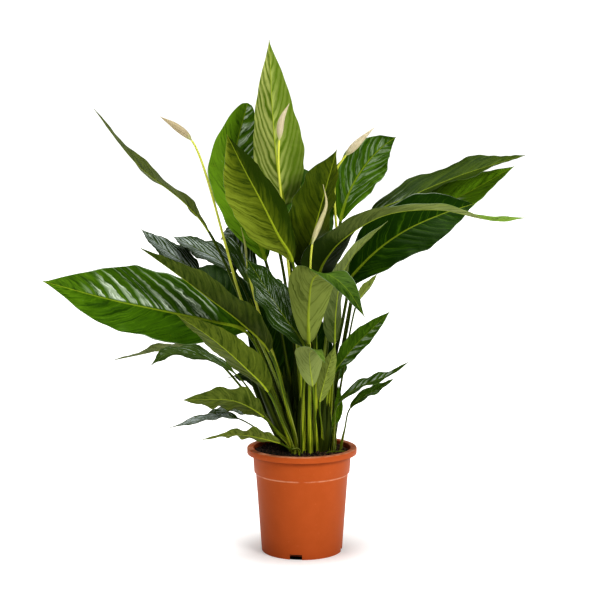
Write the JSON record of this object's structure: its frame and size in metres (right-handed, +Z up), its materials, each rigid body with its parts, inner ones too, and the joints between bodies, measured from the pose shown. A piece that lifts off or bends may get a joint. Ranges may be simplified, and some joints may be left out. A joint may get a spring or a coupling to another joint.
{
  "type": "potted peace lily",
  "caption": "Lush peace lily with broad pointed leaves on long stalks and slim closed cream blooms, rooted in peat in a plain terracotta-coloured nursery pot.",
  "frame": {"origin": "middle of the pot's base, on the ground", "axes": "+Z up, -Y towards the front of the plant, +X to its right as seen from the front"},
  "size_m": [0.7095, 0.4338, 0.7851],
  "materials": {
    "pot": "satin",
    "peat": "matte",
    "leaf": "satin",
    "stalk": "satin",
    "bloom": "satin"
  },
  "bodies": {
    "root": {"pot": "pot", "soil": "peat", "leafCrown": "leaf", "leafFrontHigh": "leaf", "leafBackHigh": "leaf", "leafCentreDark": "leaf", "leafUpperRight": "leaf", "leafRightHigh": "leaf", "leafRightBright": "leaf", "leafRightMid": "leaf", "leafRightLarge": "leaf", "leafRightInner": "leaf", "leafFrontFold": "leaf", "leafFrontSmall": "leaf", "leafSideSmall": "leaf", "leafLowRightA": "leaf", "leafLowRightB": "leaf", "leafRightLow": "leaf", "leafRightUnder": "leaf", "leafRightSliver": "leaf", "leafLeftLong": "leaf", "leafSilverA": "leaf", "leafSilverB": "leaf", "leafMidCurl": "leaf", "leafMidWavy": "leaf", "leafLeftLarge": "leaf", "leafLeftFront": "leaf", "leafLeftLow": "leaf", "leafArchFar": "leaf", "leafArchNear": "leaf", "leafLeftSmall": "leaf", "leafLeftGlossy": "leaf", "leafLeftSilver": "leaf", "leafLowest": "leaf", "leafBackCrown": "leaf", "leafBackTall": "leaf", "leafBackRight": "leaf", "leafBackMid": "leaf", "leafBackLeft": "leaf", "leafBackWide": "leaf", "leafBackLowRight": "leaf", "leafBackLow": "leaf", "leafBackLowLeft": "leaf", "stalkLeft": "stalk", "bloomLeft": "bloom", "stalkCentre": "stalk", "bloomCentre": "bloom", "stalkRight": "stalk", "bloomRight": "bloom", "stalkInner": "stalk", "bloomInner": "bloom", "stalkBud": "stalk", "bloomBud": "bloom"}
  },
  "joints": []
}
